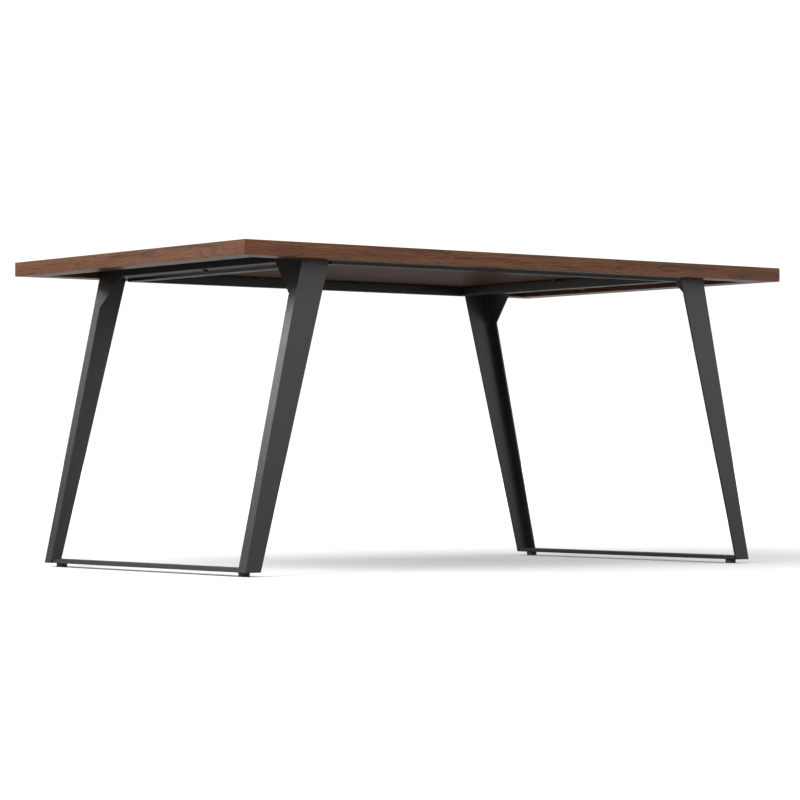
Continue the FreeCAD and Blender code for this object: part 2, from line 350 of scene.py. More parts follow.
def new_group(name, inputs, outputs):
    """Empty shader group with named number inputs, and outputs given by kind."""
    group = bpy.data.node_groups.new(name, "ShaderNodeTree")
    for label, kind, default in inputs:
        socket = group.interface.new_socket(label, in_out="INPUT", socket_type="NodeSocket" + kind)
        if default is not None:
            socket.default_value = default
    for label, kind in outputs:
        group.interface.new_socket(label, in_out="OUTPUT", socket_type="NodeSocket" + kind)
    return group, group.nodes.new("NodeGroupInput"), group.nodes.new("NodeGroupOutput")


class Wiring:
    """Short ways to add and join the nodes of one tree."""

    def __init__(self, tree):
        self.tree = tree

    def link(self, source, target):
        self.tree.links.new(source, target)

    def feed(self, socket, value):
        if isinstance(value, bpy.types.NodeSocket):
            self.link(value, socket)
        elif value is not None:
            socket.default_value = value

    def math(self, operation, first, second=None, third=None):
        node = self.tree.nodes.new("ShaderNodeMath")
        node.operation = operation
        for socket, value in zip(node.inputs, (first, second, third)):
            self.feed(socket, value)
        return node.outputs[0]

    def vector(self, operation, first, second=None, scale=None):
        node = self.tree.nodes.new("ShaderNodeVectorMath")
        node.operation = operation
        self.feed(node.inputs[0], first)
        self.feed(node.inputs[1], second)
        if scale is not None:
            self.feed(node.inputs["Scale"], scale)
        return node.outputs["Value" if operation in ("LENGTH", "DOT_PRODUCT") else "Vector"]

    def split(self, vector):
        node = self.tree.nodes.new("ShaderNodeSeparateXYZ")
        self.link(vector, node.inputs[0])
        return node.outputs

    def join(self, x, y, z):
        node = self.tree.nodes.new("ShaderNodeCombineXYZ")
        for socket, value in zip(node.inputs, (x, y, z)):
            self.feed(socket, value)
        return node.outputs[0]

    def noise(self, vector, scale, detail=3.0, roughness=0.5, distortion=0.0):
        node = self.tree.nodes.new("ShaderNodeTexNoise")
        self.feed(node.inputs["Vector"], vector)
        self.feed(node.inputs["Scale"], scale)
        self.feed(node.inputs["Detail"], detail)
        self.feed(node.inputs["Roughness"], roughness)
        self.feed(node.inputs["Distortion"], distortion)
        return node.outputs["Fac"]

    def chance(self, value):
        node = self.tree.nodes.new("ShaderNodeTexWhiteNoise")
        node.noise_dimensions = "1D"
        self.link(value, node.inputs["W"])
        return node.outputs["Value"]

    def span(self, value, low, high, out_low=0.0, out_high=1.0, smooth=False):
        node = self.tree.nodes.new("ShaderNodeMapRange")
        node.interpolation_type = "SMOOTHSTEP" if smooth else "LINEAR"
        for socket, number in zip(node.inputs, (value, low, high, out_low, out_high)):
            self.feed(socket, number)
        return node.outputs[0]

    def mix(self, share, first, second):
        node = self.tree.nodes.new("ShaderNodeMix")
        node.data_type = "RGBA"
        self.feed(node.inputs[0], share)
        self.feed(node.inputs[6], first)
        self.feed(node.inputs[7], second)
        return node.outputs[2]

    def bump(self, height, distance, strength):
        node = self.tree.nodes.new("ShaderNodeBump")
        node.inputs["Strength"].default_value = strength
        node.inputs["Distance"].default_value = distance
        self.link(height, node.inputs["Height"])
        return node.outputs[0]

    def place(self):
        return self.tree.nodes.new("ShaderNodeTexCoord").outputs["Object"]

    def group(self, group, **values):
        node = self.tree.nodes.new("ShaderNodeGroup")
        node.node_tree = group
        for label, value in values.items():
            self.feed(node.inputs[label.replace("_", " ").capitalize()], value)
        return node.outputs


def wood_grain_group():
    """Growth rings, fibre and pores of walnut sawn along X, different for each board."""
    group, given, made = new_group(
        "walnut_grain",
        [("Place", "Vector", None), ("Board", "Float", 0.0), ("Heartwood", "Color", None),
         ("Light wood", "Color", None), ("Dark wood", "Color", None)],
        [("Colour", "Color"), ("Roughness", "Float"), ("Height", "Float")])
    w = Wiring(group)
    board = given.outputs["Board"]
    first, second, third = (w.chance(w.math("ADD", board, add)) for add in (0.31, 7.73, 15.17))
    # each board is sawn from another place in the log
    place = w.vector("ADD", given.outputs["Place"],
                     w.join(w.math("MULTIPLY", first, 9.0), w.math("MULTIPLY", second, 0.7),
                            w.math("MULTIPLY", third, 0.5)))
    x, y, z = w.split(place)
    # every noise is drawn out along the board
    wander = w.noise(w.vector("MULTIPLY", place, (1.9, 7.0, 7.0)), 1.0, 2.0, 0.5)
    ripple = w.noise(w.vector("MULTIPLY", place, (9.0, 26.0, 26.0)), 1.0, 3.0, 0.55)
    # distance from the pith, which wanders along the log, and the growth rings round it
    pith_depth, rings_per_metre = 0.16, 135.0
    off_y = w.math("ADD", y, w.math("MULTIPLY", w.math("SUBTRACT", wander, 0.5), 0.19))
    off_z = w.math("ADD", z, w.math("ADD", -pith_depth, w.math("MULTIPLY", ripple, 0.042)))
    radius = w.math("SQRT", w.math("ADD", w.math("MULTIPLY", off_y, off_y), w.math("MULTIPLY", off_z, off_z)))
    rings = w.math("FRACT", w.math("MULTIPLY", radius, rings_per_metre))
    # pale early growth darkens to a late line and stops short
    late = w.math("MULTIPLY", w.math("POWER", rings, 2.3), w.span(rings, 0.93, 1.0, 1.0, 0.0))
    swept = w.math("MULTIPLY_ADD", ripple, 1.6, w.math("MULTIPLY", x, 5.0))
    streak = w.noise(w.join(swept, w.math("MULTIPLY", y, 62.0), w.math("MULTIPLY", z, 62.0)), 1.0, 4.0, 0.60, 1.1)
    fibre = w.noise(w.vector("MULTIPLY", place, (28.0, 950.0, 950.0)), 1.0, 2.0, 0.6)
    pores = w.noise(w.vector("MULTIPLY", place, (75.0, 1500.0, 1500.0)), 1.0, 1.0, 0.5)
    pore = w.math("MULTIPLY", w.span(pores, 0.60, 0.70, smooth=True), w.span(rings, 0.0, 0.8, 1.0, 0.35))
    tone = w.math("ADD", w.math("MULTIPLY", streak, 1.35), w.math("MULTIPLY", w.math("SUBTRACT", fibre, 0.5), 0.55))
    tone = w.math("ADD", tone, w.math("MULTIPLY", w.math("SUBTRACT", second, 0.5), 0.42))
    colour = w.mix(w.span(tone, 0.45, 0.95, smooth=True), given.outputs["Heartwood"], given.outputs["Light wood"])
    shade = w.math("MAXIMUM", w.math("MULTIPLY", late, 0.82), w.span(streak, 0.50, 0.31, 0.0, 0.85, smooth=True))
    colour = w.mix(shade, colour, given.outputs["Dark wood"])
    colour = w.mix(w.math("MULTIPLY", pore, 0.55), colour, given.outputs["Dark wood"])
    w.link(colour, made.inputs["Colour"])
    rough = w.math("ADD", w.math("MULTIPLY", pore, 0.20), w.span(fibre, 0.3, 0.7, 0.27, 0.36))
    w.link(rough, made.inputs["Roughness"])
    height = w.math("SUBTRACT", w.math("MULTIPLY", fibre, 0.25), w.math("ADD", w.math("MULTIPLY", pore, 1.0),
                                                                        w.math("MULTIPLY", late, 0.10)))
    w.link(height, made.inputs["Height"])
    return group


def coating_group():
    """Fine stipple and slow unevenness of a sprayed, pressed or moulded surface."""
    group, given, made = new_group(
        "fine_surface",
        [("Place", "Vector", None), ("Grain", "Float", 1400.0), ("Colour", "Color", None),
         ("Variation", "Float", 0.25), ("Low roughness", "Float", 0.4), ("High roughness", "Float", 0.55)],
        [("Colour", "Color"), ("Roughness", "Float"), ("Height", "Float")])
    w = Wiring(group)
    place = given.outputs["Place"]
    stipple = w.noise(place, given.outputs["Grain"], 2.0, 0.55)
    flow = w.noise(place, w.math("MULTIPLY", given.outputs["Grain"], 0.16), 2.0, 0.5)
    cloud = w.noise(place, 9.0, 4.0, 0.6)
    level = w.math("ADD", w.math("MULTIPLY", cloud, 0.7), w.math("MULTIPLY", stipple, 0.3))
    lift = w.math("MULTIPLY_ADD", w.math("SUBTRACT", level, 0.5),
                  w.math("MULTIPLY", given.outputs["Variation"], 2.0), 1.0)
    w.link(w.vector("SCALE", given.outputs["Colour"], scale=lift), made.inputs["Colour"])
    w.link(w.span(level, 0.3, 0.7, given.outputs["Low roughness"], given.outputs["High roughness"]),
           made.inputs["Roughness"])
    w.link(w.math("MULTIPLY_ADD", flow, 0.6, stipple), made.inputs["Height"])
    return group


def edge_wear_group():
    """Rubbed edges and corners, as a mask from 0 to 1."""
    group, given, made = new_group(
        "edge_wear",
        [("Place", "Vector", None), ("Radius", "Float", 0.0008), ("Break up", "Float", 160.0)],
        [("Wear", "Float")])
    w = Wiring(group)
    soft = group.nodes.new("ShaderNodeBevel")
    soft.samples = 4
    w.link(given.outputs["Radius"], soft.inputs["Radius"])
    plain = group.nodes.new("ShaderNodeNewGeometry").outputs["Normal"]
    turn = w.math("SUBTRACT", 1.0, w.vector("DOT_PRODUCT", soft.outputs[0], plain))
    patchy = w.noise(given.outputs["Place"], given.outputs["Break up"], 3.0, 0.6)
    w.link(w.math("MULTIPLY", w.span(turn, 0.02, 0.22, smooth=True), w.span(patchy, 0.42, 0.66, smooth=True)),
           made.inputs["Wear"])
    return group


# ---------------------------------------------------------------- materials

def new_material(name, **plain):
    """Material with one shader, and its plain values set on the shader's own sockets."""
    material = bpy.data.materials.new(name)
    material.use_nodes = True
    shader = material.node_tree.nodes["Principled BSDF"]
    for label, value in plain.items():
        shader.inputs[label.replace("_", " ").title()].default_value = value
    return material, Wiring(material.node_tree), shader


def walnut_material(name, groups, colours, turned, board, underside=0.0):
    """Lacquered walnut. turned lays the grain along Y, and board numbers the boards."""
    material, w, shader = new_material(name)
    shader.inputs["Specular IOR Level"].default_value = 0.22
    place = w.place()
    lie = w.tree.nodes.new("ShaderNodeMapping")
    lie.inputs["Rotation"].default_value = (0, 0, math.pi / 2 if turned else 0)
    w.link(place, lie.inputs["Vector"])
    grain = w.group(groups["grain"], Place=lie.outputs[0], Board=board(w, w.split(place)),
                    Heartwood=tuple(colours.heartwood), Light_wood=tuple(colours.light_wood),
                    Dark_wood=tuple(colours.dark_wood))
    w.link(grain["Colour"], shader.inputs["Base Color"])
    # undersides have fewer coats of lacquer
    bare = w.math("LESS_THAN", w.split(place)[2], table_height - 0.005)
    w.link(w.math("MULTIPLY_ADD", bare, underside, grain["Roughness"]), shader.inputs["Roughness"])
    w.link(w.bump(grain["Height"], 0.00012, 0.6), shader.inputs["Normal"])
    return material


def surface_material(name, groups, colour, grain, variation, low, high, depth, wear=None, **plain):
    """Painted, plated or moulded surface with a fine texture, and rubbed edges where wear gives their colour."""
    material, w, shader = new_material(name, **plain)
    place = w.place()
    fine = w.group(groups["surface"], Place=place, Grain=grain, Colour=tuple(colour), Variation=variation,
                   Low_roughness=low, High_roughness=high)
    shown = fine["Colour"]
    if wear is not None:
        worn = w.group(groups["wear"], Place=place)
        shown = w.mix(w.math("MULTIPLY", worn["Wear"], 0.5), shown, (*wear, 1))
    w.link(shown, shader.inputs["Base Color"])
    w.link(fine["Roughness"], shader.inputs["Roughness"])
    w.link(w.bump(fine["Height"], depth, 0.5), shader.inputs["Normal"])
    return material


class TABLE_OT_finishes(Operator):
    """Makes the wood, coating, metal and plastic finishes"""
    bl_idname = "table.finishes"
    bl_label = "Finishes"

    def execute(self, context):
        top, steel, hardware = (context.scene.walnut_top, context.scene.steel_frame, context.scene.hardware)
        groups = {"grain": wood_grain_group(), "surface": coating_group(), "wear": edge_wear_group()}
        stave_width = 2 * panel_half_width / top.staves

        def stave_number(w, place):
            return w.math("FLOOR", w.math("DIVIDE", w.math("ADD", place[1], panel_half_width), stave_width))

        def side_number(axis, start):
            def number(w, place):
                return w.math("ADD", start, w.math("SIGN", place[axis]))
            return number

        finish["staves"] = walnut_material("walnut_staves", groups, top, False, stave_number, 0.2)
        finish["long_strips"] = walnut_material("walnut_long_strips", groups, top, False, side_number(1, 40.0))
        finish["end_strips"] = walnut_material("walnut_end_strips", groups, top, True, side_number(0, 60.0))
        finish["coating"] = surface_material("black_powder_coat", groups, steel.coating, 1500.0, 0.22, 0.32, 0.42,
                                             0.00006, wear=(0.075, 0.075, 0.073))
        finish["oxide"] = surface_material("black_oxide", groups, hardware.oxide, 2600.0, 0.35, 0.28, 0.42, 0.00002,
                                           wear=(0.16, 0.16, 0.165), Metallic=0.8)
        finish["zinc"] = surface_material("zinc_plate", groups, hardware.zinc, 1800.0, 0.12, 0.22, 0.40, 0.00002,
                                          Metallic=1.0)
        finish["brass"] = surface_material("insert_brass", groups, hardware.brass, 1700.0, 0.15, 0.25, 0.42, 0.00002,
                                           Metallic=1.0)
        finish["plugs"] = surface_material("plug_plastic", groups, hardware.plastic, 900.0, 0.15, 0.45, 0.60, 0.00005)
        finish["nylon"] = surface_material("glide_nylon", groups, hardware.nylon, 1100.0, 0.18, 0.34, 0.48, 0.00003)
        return {"FINISHED"}


# ---------------------------------------------------------------- the walnut top

class TABLE_OT_walnut_staves(Operator):
    """Staves of the panel, each eased along its glue lines"""
    bl_idname = "table.walnut_staves"
    bl_label = "Staves"

    def execute(self, context):
        top = context.scene.walnut_top
        low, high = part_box("top_stave_01")
        width = high.y - low.y
        stave = block("stave_01", low, high)
        edit(stave)
        choose("EDGE", runs(0))
        round_off(top.glue_line)
        right_way_out()
        made = [stave] + [copy_of(stave, "stave_%02d" % (k + 1), (0, k * width, 0)) for k in range(1, top.staves)]
        for number, piece in enumerate(made, 1):
            dress(piece, finish["staves"], "walnut", "table", "top_stave_%02d" % number)
        return {"FINISHED"}


class TABLE_OT_edge_strips(Operator):
    """Mitred strips round the panel, cut from one slab that is rounded all round"""
    bl_idname = "table.edge_strips"
    bl_label = "Edge strips"

    def execute(self, context):
        top = context.scene.walnut_top
        slab = block("rounded_slab", (-half_length, -half_width, rim_under), (half_length, half_width, table_height))
        edit(slab)
        choose("EDGE", lambda edge: True)
        round_off(top.arris, 4)
        right_way_out()
        strip = half_width - panel_half_width
        inner = {0: half_length - strip, 1: half_width - strip}
        for axis, sides in ((1, LONG_SIDES), (0, ENDS)):
            for side, sign in sides.items():
                piece = copy_of(slab, "strip_" + side)
                edit(piece)
                along, across = Vector((0, 0, 0)), Vector((0, 0, 0))
                across[axis], along[1 - axis] = sign, 1
                slice_at(across * inner[axis], across, "high")
                for way in (1, -1):
                    tip = across * inner[axis] + along * inner[1 - axis] * way
                    slice_at(tip, along * way - across, "low")
                right_way_out()
                ease_edges(piece, top.glue_line, 1, 42)
                dress(piece, finish["long_strips" if axis else "end_strips"], "walnut", "table", "edge_strip_" + side)
        take(slab)
        bpy.ops.object.delete()
        return {"FINISHED"}


# ---------------------------------------------------------------- the steel frame

class TABLE_OT_angle_legs(Operator):
    """Legs of plate, each an open angle with a gusset at the top"""
    bl_idname = "table.angle_legs"
    bl_label = "Legs"

    def execute(self, context):
        steel = context.scene.steel_frame
        # both ends are made too long and then cut level
        spare = 0.004
        low, high = foot_level - spare, panel_under + spare
        end_flange_y = leg_face_y - steel.end_flange
        gusset_start = rim_under - (end_flange_y - gusset_y)

        def free_edge_x(z):
            share = (z - foot_level) / (rim_under - foot_level)
            return corner_x(z) - steel.flange_foot - (steel.flange_top - steel.flange_foot) * share

        let_go()
        bpy.ops.mesh.primitive_plane_add(size=1, rotation=(-math.pi / 2, 0, 0), location=(0, leg_face_y, 0))
        leg = named("angle_leg_back_right")
        edit(leg)
        for x, edge_x in ((0.5, corner_x), (-0.5, free_edge_x)):
            for z, new_z in ((0.5, high), (-0.5, low)):
                choose("VERT", within(x=x, z=z))
                move(edge_x(new_z) - x, 0, new_z - z)

        def corner_line(back, y):
            return lambda edge: all(abs(end.co.x - corner_x(end.co.z) + back) < 1e-4 and abs(end.co.y - y) < 1e-4
                                    for end in edge.verts)

        on_corner = corner_line(0, leg_face_y)
        inside_corner = corner_line(steel.plate * math.sqrt(1 + lean * lean), leg_face_y - steel.plate)
        choose("EDGE", on_corner)
        pull(y=end_flange_y - leg_face_y)
        slice_at((0, 0, gusset_start), (0, 0, 1))
        slice_at((0, 0, rim_under), (0, 0, 1))
        choose("EDGE", within(y=end_flange_y, z=(gusset_start, high)))
        pull(y=gusset_y - end_flange_y)
        choose("VERT", within(y=gusset_y, z=gusset_start))
        move(y=end_flange_y - gusset_y)
        right_way_out()
        # an open sheet has no inside, so the side flange tells which way it looks
        side = max(leg.data.polygons, key=lambda face: abs(face.normal.y))
        if side.normal.y < 0:
            edit(leg)
            bpy.ops.mesh.select_all(action="SELECT")
            bpy.ops.mesh.flip_normals()
        give_wall(take(leg), steel.plate)
        edit(leg)
        slice_at((0, 0, foot_level), (0, 0, 1), "high")
        slice_at((0, 0, panel_under), (0, 0, 1), "low")
        choose("EDGE", on_corner)
        round_off(steel.corner, 4)
        choose("EDGE", inside_corner)
        round_off(steel.fillet, 3)
        right_way_out()
        ease_edges(leg, steel.ease)
        for piece, corner in at_corners(leg, "angle_leg_"):
            coat(piece, "leg_" + corner)
        return {"FINISHED"}


class TABLE_OT_leg_channels(Operator):
    """Channels across the tops of the leg frames"""
    bl_idname = "table.leg_channels"
    bl_label = "Leg channels"

    def execute(self, context):
        steel = context.scene.steel_frame
        low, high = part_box("leg_channel_right")
        wall = steel.channel_wall
        heel, bolt_hole = 0.0012, 0.0043
        outer_wall = steel.plate * math.sqrt(1 + lean * lean)
        web_end = high.x - outer_wall
        channel = block("channel_right", (low.x, low.y, low.z), (web_end, high.y, low.z + wall))
        edit(channel)
        slice_at((low.x + wall, 0, 0), (1, 0, 0))
        for y in (-gusset_y, gusset_y):
            slice_at((0, y, 0), (0, 1, 0))
        choose("FACE", faces((1, 0, 0), within(x=web_end, y=(-gusset_y, gusset_y))))
        pull(x=outer_wall)
        choose("VERT", within(x=(web_end, high.x), z=low.z + wall))
        move(x=-lean * wall)
        choose("FACE", faces((0, 0, 1), within(x=(low.x, low.x + wall))))
        pull(z=high.z - low.z - wall)
        choose("FACE", faces((0, 0, 1), within(x=(web_end - lean * wall, high.x), y=(-gusset_y, gusset_y))))
        pull(x=-lean * (high.z - low.z - wall), z=high.z - low.z - wall)
        choose("EDGE", runs(1, within(x=low.x, z=low.z)))
        round_off(steel.channel_bend, 5)
        choose("EDGE", runs(1, within(x=high.x, z=low.z)))
        round_off(heel, 3)
        right_way_out()
        bolt_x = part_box("top_bolts")[1].x - context.scene.hardware.bolt_flats / math.sqrt(3)
        boolean(channel, post("bolt_hole", bolt_x, 0, low.z - 0.01, low.z + 0.01, bolt_hole))
        ease_edges(channel, steel.ease)
        other = copy_of(channel, "channel_left", flip=(-1, 1, 1))
        for piece, end in ((channel, "right"), (other, "left")):
            coat(piece, "leg_channel_" + end)
        return {"FINISHED"}


class TABLE_OT_floor_bars(Operator):
    """Flat bars across the feet, tapped for the glides"""
    bl_idname = "table.floor_bars"
    bl_label = "Floor bars"

    def execute(self, context):
        low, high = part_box("floor_bar_right")
        drill_radius, reach, mouth, countersink = 0.004, 0.004, 0.0005, 2.1
        slope = lean * (high.z - low.z)
        bar = block("foot_bar_right", low, (high.x - slope, high.y, high.z))
        edit(bar)
        choose("VERT", within(x=high.x - slope, z=low.z))
        move(x=slope)
        choose("EDGE", runs(1, within(x=low.x)))
        round_off(context.scene.steel_frame.bar_edge, 4)
        right_way_out()
        stem = [sum(side) / 2 for side in zip(*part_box("glide_stem_back_right"))]
        for y in (stem[1], -stem[1]):
            drill = post("tapping_drill", stem[0], y, low.z - reach, high.z + reach, drill_radius)
            edit(drill)
            for z in (high.z - mouth, low.z + mouth):
                slice_at((0, 0, z), (0, 0, 1))
            for z in (high.z + reach, low.z - reach):
                choose("VERT", within(z=z))
                bpy.ops.transform.resize(value=(countersink, countersink, 1), center_override=(stem[0], y, z))
            right_way_out()
            boolean(bar, drill)
        ease_edges(bar, context.scene.steel_frame.ease)
        other = copy_of(bar, "foot_bar_left", flip=(-1, 1, 1))
        for piece, end in ((bar, "right"), (other, "left")):
            coat(piece, "floor_bar_" + end)
        return {"FINISHED"}


def tube(name, low, high, axis, wall, corner):
    """Rectangular tube, open at both ends, with rounded corners."""
    piece = block(name, low, high)
    edit(piece)
    choose("EDGE", runs(axis))
    round_off(corner, 5)
    ends = Vector((0, 0, 0))
    ends[axis] = 1
    choose("FACE", lambda face: abs(face.normal.dot(ends)) > 0.999)
    bpy.ops.mesh.delete(type="ONLY_FACE")
    right_way_out()
    give_wall(piece, wall)
    return piece


class TABLE_OT_under_frame_rails(Operator):
    """Tubes of the under-frame"""
    bl_idname = "table.under_frame_rails"
    bl_label = "Rails"

    def execute(self, context):
        steel = context.scene.steel_frame
        for kind, axis, sides in (("long_rail_", 0, LONG_SIDES), ("end_rail_", 1, ENDS)):
            main, mirrored = list(sides)
            low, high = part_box(kind + main)
            rail = tube("tube_" + main, low, high, axis, steel.tube_wall, steel.tube_corner)
            other = copy_of(rail, "tube_" + mirrored, flip=(1, -1, 1) if axis == 0 else (-1, 1, 1))
            for piece, side in ((rail, main), (other, mirrored)):
                coat(piece, kind + side)
        repaint("rail_end_caps", finish["plugs"])
        return {"FINISHED"}


class TABLE_OT_screw_tabs(Operator):
    """Tabs on the rails, each with its pan-head screw"""
    bl_idname = "table.screw_tabs"
    bl_label = "Screw tabs and screws"

    def execute(self, context):
        low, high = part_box("screw_tabs")
        hardware = context.scene.hardware
        size, head_radius = hardware.tab_side, hardware.screw_head / 2
        head_low, screw_top = (corner.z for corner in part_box("tab_screws"))
        middle_x, middle_y = high.x - size / 2, high.y - size / 2
        side_x = 0.165
        hole_radius, shank_radius, point = 0.0027, 0.0024, 0.002

        def tab(name, x, y, free):
            plate = block(name, (x - size / 2, y - size / 2, low.z), (x + size / 2, y + size / 2, high.z))
            edit(plate)
            choose("EDGE", runs(2, free(x, y)))
            round_off(hardware.tab_corner, 5)
            right_way_out()
            boolean(plate, post("tab_hole", x, y, low.z - 0.002, high.z + 0.002, hole_radius, 32))
            ease_edges(plate, 0.0003, 1)
            return plate

        corner_tab = tab("tab_01", middle_x, middle_y, lambda x, y: within(x=x - size / 2, y=y - size / 2))
        side_tab = tab("tab_05", side_x, middle_y, lambda x, y: within(y=y - size / 2))
        end_tab = tab("tab_09", middle_x, 0.0, lambda x, y: within(x=x - size / 2))
        tabs = []
        for first, piece in ((1, corner_tab), (5, side_tab)):
            tabs.append(piece)
            for number, (x, y) in enumerate(list(CORNERS.values())[1:], first + 1):
                tabs.append(copy_of(piece, "tab_%02d" % number, flip=(x, y, 1)))
        tabs += [end_tab, copy_of(end_tab, "tab_10", flip=(-1, 1, 1))]
        for piece in tabs:
            coat(piece)
        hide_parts("screw_tabs")

        screw = post("screw_01", middle_x, middle_y, head_low, low.z, head_radius, 32)
        edit(screw)
        choose("EDGE", within(z=head_low))
        round_off(0.0013, 5)
        choose("FACE", faces((0, 0, 1)))
        bpy.ops.mesh.inset(thickness=head_radius - shank_radius)
        pull(z=screw_top - low.z - point)
        bpy.ops.transform.resize(value=(0.82, 0.82, 1), center_override=(middle_x, middle_y, screw_top))
        pull(z=point)
        bpy.ops.transform.resize(value=(0.1, 0.1, 1), center_override=(middle_x, middle_y, screw_top))
        right_way_out()
        arm, side, depth = 0.0023, 0.0006, 0.0014
        cross = block("cross_recess", (middle_x - arm, middle_y - side, head_low - 0.001),
                      (middle_x + arm, middle_y + side, head_low + depth))
        edit(cross)
        choose("FACE", faces((0, 0, 1)))
        bpy.ops.transform.resize(value=(0.55, 0.8, 1), center_override=(middle_x, middle_y, head_low))
        bpy.ops.mesh.select_all(action="SELECT")
        bpy.ops.mesh.duplicate()
        bpy.ops.transform.rotate(value=math.pi / 2, orient_axis="Z", center_override=(middle_x, middle_y, head_low))
        bpy.ops.object.mode_set(mode="OBJECT")
        boolean(screw, cross, crossed=True)
        spots = [(x * away, y * middle_y) for away in (middle_x, side_x) for x, y in CORNERS.values()]
        spots += [(middle_x, 0.0), (-middle_x, 0.0)]
        screws = [screw] + [copy_of(screw, "screw_%02d" % n, (x - middle_x, y - middle_y, 0))
                            for n, (x, y) in list(enumerate(spots, 1))[1:]]
        for piece in screws:
            dress(piece, finish["oxide"], "black_oxide", "table", smooth=40)
        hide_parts("tab_screws")
        return {"FINISHED"}


class TABLE_OT_top_bolts(Operator):
    """Chamfered hexagon bolts through the channels, and the hidden fixings round them"""
    bl_idname = "table.top_bolts"
    bl_label = "Top bolts and hidden fixings"

    def execute(self, context):
        low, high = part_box("top_bolts")
        radius = context.scene.hardware.bolt_flats / math.sqrt(3)
        shank_radius, chamfer = 0.004, 0.0011
        spot = high.x - radius
        bolt = post("hex_bolt_right", spot, 0, low.z, rim_under, radius, 6)
        edit(bolt)
        bpy.ops.mesh.select_all(action="SELECT")
        bpy.ops.transform.rotate(value=math.pi / 6, orient_axis="Z", center_override=(spot, 0, rim_under))
        right_way_out()
        cone = post("chamfer_cone", spot, 0, low.z - 0.001, rim_under + 0.001, radius * 1.02, 48)
        edit(cone)
        slice_at((0, 0, low.z + chamfer), (0, 0, 1))
        choose("VERT", within(z=low.z - 0.001))
        bpy.ops.transform.resize(value=(0.68, 0.68, 1), center_override=(spot, 0, low.z))
        right_way_out()
        boolean(bolt, cone, "INTERSECT")
        ease_edges(bolt, 0.00015, 1, 50)
        shank = post("bolt_shank", spot, 0, rim_under - 0.0001, high.z, shank_radius, 32)
        edit(shank)
        choose("EDGE", within(z=high.z))
        round_off(0.0008, 2)
        right_way_out()
        take(shank)
        bolt.select_set(True)
        bpy.context.view_layer.objects.active = bolt
        bpy.ops.object.join()
        other = copy_of(bolt, "hex_bolt_left", flip=(-1, 1, 1))
        for piece in (bolt, other):
            dress(piece, finish["oxide"], "black_oxide", "table", smooth=25)
        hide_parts("top_bolts")
        for node, kind in (("bolt_spacers", "zinc"), ("rivet_nuts", "zinc"), ("threaded_inserts", "brass"),
                           ("rail_bolts", "oxide")):
            repaint(node, finish[kind])
        return {"FINISHED"}


class TABLE_OT_weld_beads(Operator):
    """Rippled beads that join the bars and channels to the legs"""
    bl_idname = "table.weld_beads"
    bl_label = "Weld beads"

    def execute(self, context):
        bar_low, bar_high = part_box("floor_bar_right")
        channel_low, channel_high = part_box("leg_channel_right")
        # a bead sinks a little into the steel, and its ripples are a weld's puddles side by side
        sink, ripple = 0.0002, 0.0021
        joint_y = bar_high.y + 0.0006
        welds = {
            "foot": (bar_low.x + 0.001, corner_x(bar_high.z) - 0.0055, bar_high.z - sink),
            "channel": (channel_low.x + 0.003, channel_high.x - 0.0065, channel_low.z + sink),
        }
        for name, (start, stop, z) in welds.items():
            count = int((stop - start) / ripple)
            step = (stop - start) / count
            middle = (start + step / 2, joint_y, z)
            let_go()
            bpy.ops.mesh.primitive_uv_sphere_add(segments=12, ring_count=8, radius=context.scene.steel_frame.bead,
                                                 rotation=(0, math.pi / 2, 0), location=middle)
            seam = named("weld_%s_back_right" % name)
            edit(seam)
            bpy.ops.mesh.select_all(action="SELECT")
            bpy.ops.transform.resize(value=(0.85, 0.95, 0.8), center_override=middle)
            bpy.ops.object.mode_set(mode="OBJECT")
            bpy.ops.object.modifier_add(type="ARRAY")
            row = seam.modifiers[-1]
            row.count, row.use_relative_offset, row.use_constant_offset = count, False, True
            row.constant_offset_displace = (step, 0, 0)
            bpy.ops.object.modifier_apply(modifier=row.name)
            for piece, _ in at_corners(seam, "weld_%s_" % name):
                coat(piece, smooth=60)
        return {"FINISHED"}


class TABLE_OT_glides(Operator):
    """Levelling glides: pads in which the stems turn"""
    bl_idname = "table.glides"
    bl_label = "Glides"

    def execute(self, context):
        low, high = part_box("glide_pad_back_right")
        x, y = (low.x + high.x) / 2, (low.y + high.y) / 2
        radius = (high.x - low.x) / 2
        stem_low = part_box("glide_stem_back_right")[0]
        top_round, foot_round = 0.0016, 0.0011
        groove, neck = (0.0030, 0.0036, 0.0042, 0.0048), 0.955
        shank_hole, collar_hole, collar_height = 0.0041, 0.0061, 0.0036
        pad = post("foot_pad_back_right", x, y, low.z, high.z, radius, 64)
        edit(pad)
        choose("EDGE", within(z=high.z))
        round_off(top_round, 4)
        choose("EDGE", within(z=low.z))
        round_off(foot_round, 4)
        for z in groove:
            slice_at((x, y, z), (0, 0, 1))
        choose("VERT", within(z=groove[1:3]))
        bpy.ops.transform.resize(value=(neck, neck, 1), center_override=(x, y, groove[1]))
        # the pocket is narrow round the shank and wide round the collar
        choose("FACE", faces((0, 0, 1), within(z=high.z)))
        bpy.ops.mesh.inset(thickness=radius - top_round - shank_hole)
        pocket_low, pocket_high = stem_low.z - 0.0001, stem_low.z + collar_height
        pull(z=pocket_high - high.z)
        pull(z=0)
        bpy.ops.transform.resize(value=(collar_hole / shank_hole,) * 2 + (1,), center_override=(x, y, pocket_high))
        pull(z=pocket_low - pocket_high)
        right_way_out()
        pads = [(pad, "back_right")]
        for corner, (sx, sy) in list(CORNERS.items())[1:]:
            pads.append((copy_of(pad, "foot_pad_" + corner, ((sx - 1) * x, (sy - 1) * y, 0)), corner))
        for piece, corner in pads:
            dress(piece, finish["nylon"], "glide_nylon", "pad_" + corner, "glide_pad_" + corner, smooth=40)
            repaint("glide_stem_" + corner, finish["zinc"])
        return {"FINISHED"}


# ---------------------------------------------------------------- stage

